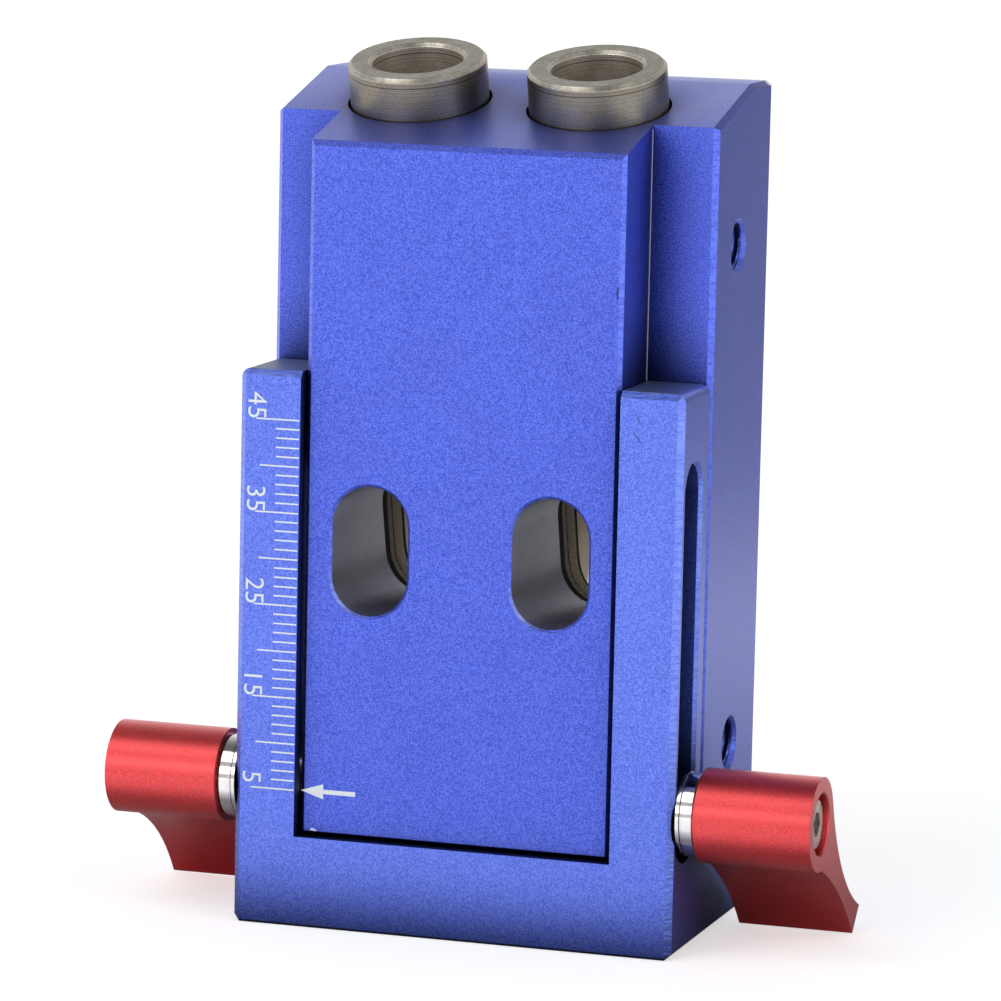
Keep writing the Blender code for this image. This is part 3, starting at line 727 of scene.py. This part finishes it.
def finish_node(name, material, smoothing):
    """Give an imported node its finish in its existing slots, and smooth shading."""
    node = NODES[name]
    mesh = node.data
    for attribute in ("custom_normal", "sharp_edge", "sharp_face"):
        if attribute in mesh.attributes:
            mesh.attributes.remove(mesh.attributes[attribute])
    modifier = node.modifiers.new("Join and smooth", "NODES")
    modifier.node_group = smoothing
    for material_slot in node.material_slots:
        material_slot.material = material


def new_piece(name, shape, material, body, smooth=True):
    bmesh.ops.recalc_face_normals(shape, faces=shape.faces[:])
    mesh = bpy.data.meshes.new(name)
    shape.to_mesh(mesh)
    shape.free()
    if smooth:
        mesh.shade_smooth()
        mesh.set_sharp_from_angle(angle=PIECE_SHARP_ANGLE)
    mesh.materials.append(material)
    piece = bpy.data.objects.new(name, mesh)
    bpy.context.scene.collection.objects.link(piece)
    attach(piece, body)
    return piece


def join_rings(shape, near, far):
    """Faces between two rings of as many points."""
    for index in range(len(near)):
        following = (index + 1) % len(near)
        shape.faces.new((near[index], near[following], far[following], far[index]))


def close_tube(shape, rings):
    """A tube through all its rings, with a face at each end."""
    for near, far in zip(rings, rings[1:]):
        join_rings(shape, near, far)
    shape.faces.new(rings[0])
    shape.faces.new(rings[-1])


def ring_point(shape, x, centre, radius, angle):
    """A point round an axis along X, which goes through centre as (y, z)."""
    return shape.verts.new((x, centre[0] + radius * math.cos(angle),
                            centre[1] + radius * math.sin(angle)))


def add_plate(shape, outline, front, rise):
    """A thin plate on a front face, from (x, z) points. It starts just inside the metal."""
    near = [shape.verts.new((x, front - rise, z)) for x, z in outline]
    far = [shape.verts.new((x, front + rise, z)) for x, z in outline]
    shape.faces.new(near)
    shape.faces.new(reversed(far))
    join_rings(shape, far, near)


def build_ticks(material):
    shape = bmesh.new()
    for number in range(SCALE_FIRST, SCALE_LAST + 1):
        length = SHORT_TICK
        if number % 10 == 0:
            length = TEN_TICK
        if number % 10 == 5:
            length = LABELLED_TICK
        height = SCALE_FIRST_HEIGHT + (number - SCALE_FIRST) * TICK_PITCH
        low = height - LINE_WIDTH / 2
        high = height + LINE_WIDTH / 2
        left = TICK_RIGHT - length
        outline = ((left, low), (TICK_RIGHT, low), (TICK_RIGHT, high), (left, high))
        add_plate(shape, outline, STOP_FRONT, ETCH_RISE)
    return new_piece("scale_ticks", shape, material, "stop", smooth=False)


def number_mesh(text):
    """A thin number in its own plane, with its right end at the origin."""
    curve = bpy.data.curves.new("number_" + text, "FONT")
    curve.body = text
    curve.size = NUMBER_SIZE
    curve.align_x = "RIGHT"
    curve.extrude = ETCH_RISE
    curve.offset = NUMBER_BOLDNESS
    curve.resolution_u = 4
    letter = bpy.data.objects.new("number_" + text, curve)
    bpy.context.scene.collection.objects.link(letter)
    bpy.context.view_layer.update()
    evaluated = letter.evaluated_get(bpy.context.evaluated_depsgraph_get())
    mesh = bpy.data.meshes.new_from_object(evaluated)
    bpy.data.objects.remove(letter)
    return mesh


def build_numbers(material):
    """The numbers read downwards, each ending just above its own line."""
    shape = bmesh.new()
    for number in range(SCALE_FIRST, SCALE_LAST + 1, 10):
        gap = LONE_NUMBER_GAP if number < 10 else NUMBER_GAP
        height = SCALE_FIRST_HEIGHT + (number - SCALE_FIRST) * TICK_PITCH + gap
        turned = Matrix(((0, 1, 0), (0, 0, -1), (-1, 0, 0))).to_4x4()
        place = Matrix.Translation((NUMBER_LEFT, STOP_FRONT, height)) @ turned
        mesh = number_mesh(str(number))
        mesh.transform(place)
        shape.from_mesh(mesh)
        bpy.data.meshes.remove(mesh)
    return new_piece("scale_numbers", shape, material, "stop", smooth=False)


def build_arrow(material):
    tip = (ARROW_TIP, ARROW_HEIGHT)
    neck = ARROW_TIP + ARROW_HEAD_LENGTH
    end = ARROW_TIP + ARROW_LENGTH
    head = ARROW_HEAD_WIDTH / 2
    shaft = ARROW_SHAFT_WIDTH / 2
    outline = (tip, (neck, ARROW_HEIGHT - head), (neck, ARROW_HEIGHT - shaft),
               (end, ARROW_HEIGHT - shaft), (end, ARROW_HEIGHT + shaft),
               (neck, ARROW_HEIGHT + shaft), (neck, ARROW_HEIGHT + head))
    shape = bmesh.new()
    add_plate(shape, outline, BLOCK_FRONT, ETCH_RISE)
    return new_piece("index_arrow", shape, material, "guide", smooth=False)


def helix_ridge(shape, centre, outward, start, end, base_radius, crest_radius, pitch):
    """A thread's ridge along X: a triangle swept round a helix, whose crest runs out at the end."""
    turns = abs(end - start) / pitch
    foot = pitch * THREAD_FOOT
    rings = []
    for index in range(int(turns * THREAD_STEPS) + 1):
        turn = index / THREAD_STEPS
        angle = 2 * math.pi * turn
        middle = start + outward * turn * pitch
        height = min(1.0, (turns - turn) / THREAD_RUNOUT)
        crest = base_radius + (crest_radius - base_radius) * height
        rings.append([ring_point(shape, middle + shift, centre, radius, angle)
                      for shift, radius in ((-foot, base_radius), (0.0, crest),
                                            (foot, base_radius))])
    close_tube(shape, rings)


def build_hole_threads(material):
    for word, side in SIDES:
        for level, (setback, height) in zip(("upper", "lower"), HOLES):
            shape = bmesh.new()
            mouth = side * (FLANK - THREAD_MOUTH)
            deep = side * (FLANK - THREAD_DEPTH)
            helix_ridge(shape, (STOP_FRONT + setback, height), side, deep, mouth,
                        THREAD_RADIUS + THREAD_SINK, THREAD_RADIUS - THREAD_RELIEF, THREAD_PITCH)
            new_piece(f"{word}_{level}_hole_thread", shape, material, "guide")


def wire_ring(shape, x, centre, radius, angle):
    """The wire's round section at one place of a spring."""
    turns = (2 * math.pi * step / SPRING_SIDES for step in range(SPRING_SIDES))
    return [ring_point(shape, x + SPRING_WIRE * math.sin(turn), centre,
                       radius + SPRING_WIRE * math.cos(turn), angle) for turn in turns]


def build_springs(material):
    """Each spring presses the lever on, and is squeezed when the lever is pulled off its teeth. The
    coil built here is fixed to its stud and keeps its length.
    """
    for word, side in SIDES:
        low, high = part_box(word + "_lever_spring")
        inner, outer = (low.x, high.x) if side > 0 else (high.x, low.x)
        centre = ((low.y + high.y) / 2, (low.z + high.z) / 2)
        radius = (high.z - low.z) / 2 - SPRING_WIRE
        closed = 2 * SPRING_WIRE + SPRING_END_GAP
        span = abs(outer - inner) - 2 * SPRING_WIRE
        pitch = (span - 2 * closed) / (SPRING_TURNS - 2)
        shape = bmesh.new()
        rings = []
        for index in range(SPRING_TURNS * SPRING_STEPS + 1):
            turn = index / SPRING_STEPS
            ends = min(turn, 1.0) + max(turn - (SPRING_TURNS - 1), 0.0)
            x = inner + side * (SPRING_WIRE + closed * ends + pitch * (turn - ends))
            rings.append(wire_ring(shape, x, centre, radius, 2 * math.pi * turn))
        close_tube(shape, rings)
        piece = new_piece(word + "_coil_spring", shape, material, word + "_stud")
        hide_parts(word + "_lever_spring")
        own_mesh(piece)


def build_collar_lips(material):
    """The rolled edge of each clamp's collar, which all but closes the seam to its washer."""
    for word, side in SIDES:
        low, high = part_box(word + "_clamp_washer")
        centre = ((low.y + high.y) / 2, (low.z + high.z) / 2)
        radius = (high.z - low.z) / 2
        near = (high.x if side > 0 else low.x) + side * LIP_GAP
        shape = bmesh.new()
        rings = []
        for index in range(LIP_STEPS):
            angle = 2 * math.pi * index / LIP_STEPS
            rings.append([ring_point(shape, near + side * along * MM, centre,
                                     radius - drop * MM, angle) for along, drop in LIP_PROFILE])
        for index, ring in enumerate(rings):
            join_rings(shape, ring, rings[(index + 1) % LIP_STEPS])
        new_piece(word + "_collar_lip", shape, material, word + "_stud")


def build_wear(dark, bright):
    """Two short scratches on the right arm, and two nicks on the block's front."""
    strokes = bmesh.new()
    for ends in SCRATCHES:
        start, end = (Vector(point) * MM for point in ends)
        across = Vector((-(end - start).y, (end - start).x)).normalized() * SCRATCH_HALF
        middle = (start + end) / 2
        add_plate(strokes, (start, middle + across, end, middle - across), STOP_FRONT,
                  ETCH_RISE / 2)
    new_piece("right_arm_scratches", strokes, dark, "stop", smooth=False)
    for name, outline, material in (("block_bright_nick", BRIGHT_NICK, bright),
                                    ("block_dark_nick", DARK_NICK, dark)):
        shape = bmesh.new()
        points = [(x * MM, z * MM) for x, z in outline]
        add_plate(shape, points, BLOCK_FRONT, ETCH_RISE / 2)
        new_piece(name, shape, material, "guide", smooth=False)


def build_looks():
    smoothing = smoothing_group()
    block = anodised_material("block_finish", BLOCK_BLUE, BLOCK_GRAIN_SHARE, block_details)
    stop = anodised_material("stop_finish", STOP_BLUE, STOP_GRAIN_SHARE, stop_details)
    chrome = steel_material("bright_chrome", CHROME, 0.09, 0.05 * MM)
    spring = steel_material("spring_wire", SPRING_STEEL, 0.25, 0.05 * MM)
    screw = steel_material("screw_steel", SCREW_STEEL, 0.26, 0.08 * MM)
    etched = etched_material()
    side_nodes = (("_drill_bushing", sleeve_material(), "bushing_steel"),
                  ("_clamp_lever", lever_material(), "red_anodised"),
                  ("_clamp_stud", chrome, "chrome"),
                  ("_clamp_washer", chrome, "chrome"),
                  ("_retaining_screw", screw, "screw_steel"),
                  ("_lever_spring", spring, "spring_steel"))
    finish_node("guide_block", block, smoothing)
    finish_node("sliding_stop", stop, smoothing)
    for word, _ in SIDES:
        for ending, material, slot in side_nodes:
            finish_node(word + ending, material, smoothing)
    build_ticks(etched)
    build_numbers(etched)
    build_arrow(etched)
    build_hole_threads(thread_material())
    build_springs(spring)
    build_collar_lips(chrome)
    build_wear(plain_material("scratch_dark", SCRATCH_DARK, 0.5, 0.3),
               plain_material("nick_bright", NICK_BRIGHT, 0.35, 0.6))


def build_camera():
    camera = bpy.data.objects.new("camera", bpy.data.cameras.new("camera"))
    camera.data.lens = CAMERA_LENS
    camera.data.sensor_width = CAMERA_SENSOR
    camera.data.clip_start, camera.data.clip_end = CAMERA_CLIP
    turn = (CAMERA_AIM - CAMERA_PLACE).to_track_quat("-Z", "Y").to_matrix()
    turn = turn @ Matrix.Rotation(CAMERA_ROLL, 3, "Z")
    camera.matrix_world = Matrix.Translation(CAMERA_PLACE) @ turn.to_4x4()
    bpy.context.scene.collection.objects.link(camera)
    bpy.context.scene.camera = camera


def build_softbox(name, place, size, power):
    lamp = bpy.data.lights.new(name, "AREA")
    lamp.shape = "RECTANGLE"
    lamp.size, lamp.size_y = size
    lamp.energy = power
    item = bpy.data.objects.new(name, lamp)
    item.location = place
    item.rotation_euler = (Vector(LIGHT_AIM) - Vector(place)).to_track_quat("-Z", "Y").to_euler()
    bpy.context.scene.collection.objects.link(item)


def add_stage(name, shape, place, material):
    mesh = bpy.data.meshes.new(name)
    shape.to_mesh(mesh)
    shape.free()
    mesh.materials.append(material)
    item = bpy.data.objects.new(name, mesh)
    item.location = place
    bpy.context.scene.collection.objects.link(item)
    return item


def seen_rays(tree):
    """Camera rays, and the rays by which metal and glass show the background."""
    path = add_node(tree, "LightPath").outputs
    mirrored = calculate(tree, "MAXIMUM", path["Is Glossy Ray"], path["Is Transmission Ray"])
    return path["Is Camera Ray"], mirrored


def build_floor():
    """Pale paper that the camera sees as white, with the jig's soft shadow on it."""
    shape = bmesh.new()
    bmesh.ops.create_circle(shape, cap_ends=True, segments=96, radius=FLOOR_RADIUS)
    material = bpy.data.materials.new("floor_paper")
    material.use_nodes = True
    tree = material.node_tree
    shader = tree.nodes["Principled BSDF"]
    shader.inputs["Roughness"].default_value = PAPER_ROUGHNESS
    shader.inputs["Specular IOR Level"].default_value = 0.1
    shader.inputs["Emission Color"].default_value = (1.0, 1.0, 1.0, 1.0)
    place = object_place(tree)
    _, y, _ = split(tree, place)
    distance = add_node(tree, "VectorMath", {0: place}, operation="LENGTH").outputs["Value"]
    camera, mirrored = seen_rays(tree)
    clear = calculate(tree, "MAXIMUM", remap(tree, distance, *CLEAR_SPAN, 0.0, 1.0),
                      remap(tree, y, *CLEAR_FRONT, 1.0, 0.0))
    # Painted shadow: mirrored rays see the paper darker near the jig.
    dark = product(tree, mirrored, calculate(tree, "SUBTRACT", 1.0, clear), NEAR_PAINTED_SHADOW)
    paper = calculate(tree, "MULTIPLY", calculate(tree, "SUBTRACT", 1.0, dark), PAPER)
    lit = calculate(tree, "MAXIMUM", camera, calculate(tree, "MULTIPLY", mirrored, clear))
    glow = product(tree, lit, remap(tree, distance, *GLOW_SPAN, *PAPER_GLOW))
    connect(tree, shader, Base_Color=tint(tree, (1.0, 1.0, 1.0, 1.0), paper),
            Emission_Strength=glow)
    add_stage("floor", shape, (0.0, 0.0, -FLOOR_DROP), material)


def build_card(name, place, half_width, height, turn, shade):
    """A dark card, out of view, that the metal reflects."""
    shape = bmesh.new()
    corners = ((-half_width, 0.0), (half_width, 0.0), (half_width, height), (-half_width, height))
    shape.faces.new([shape.verts.new((x, 0.0, z)) for x, z in corners])
    material = bpy.data.materials.new(name + "_black")
    material.use_nodes = True
    shader = material.node_tree.nodes["Principled BSDF"]
    shader.inputs["Base Color"].default_value = (shade, shade, shade, 1.0)
    shader.inputs["Roughness"].default_value = PAPER_ROUGHNESS
    card = add_stage(name, shape, place, material)
    card.rotation_euler = (0.0, 0.0, turn)
    card.visible_camera = False
    card.visible_shadow = False


def build_world():
    """White where the camera looks, and a room that darkens towards its front and ceiling."""
    world = bpy.data.worlds.new("studio")
    bpy.context.scene.world = world
    world.use_nodes = True
    tree = world.node_tree
    background = tree.nodes["Background"]
    _, y, z = split(tree, add_node(tree, "TexCoord").outputs["Generated"])
    room = product(tree, remap(tree, y, *ROOM_DEPTH), remap(tree, z, *ROOM_HEIGHT))
    camera, _ = seen_rays(tree)
    background.inputs["Color"].default_value = (1.0, 1.0, 1.0, 1.0)
    connect(tree, background, Strength=calculate(tree, "MAXIMUM", camera, room))


def build_studio():
    build_camera()
    build_floor()
    build_card("back_card", (0.27, 0.26, 0.0), half_width=0.20, height=0.22, turn=0.0,
               shade=0.08)
    build_card("front_card", (0.124, -0.306, 0.0), half_width=0.085, height=0.11,
               turn=math.radians(22.0), shade=0.02)
    build_world()
    build_softbox("front_softbox", (-0.36, -0.96, 0.38), size=(0.55, 0.34), power=1.35)
    build_softbox("top_softbox", (-0.35, -0.50, 0.85), size=(0.6, 0.45), power=1.5)
    build_softbox("right_softbox", (0.95, -0.27, 0.06), size=(0.4, 0.4), power=0.8)
    build_softbox("high_right_softbox", (0.62, -0.30, 0.74), size=(0.35, 0.35), power=0.6)
    bpy.context.scene.view_settings.view_transform = "Standard"


build_studio()
build_looks()
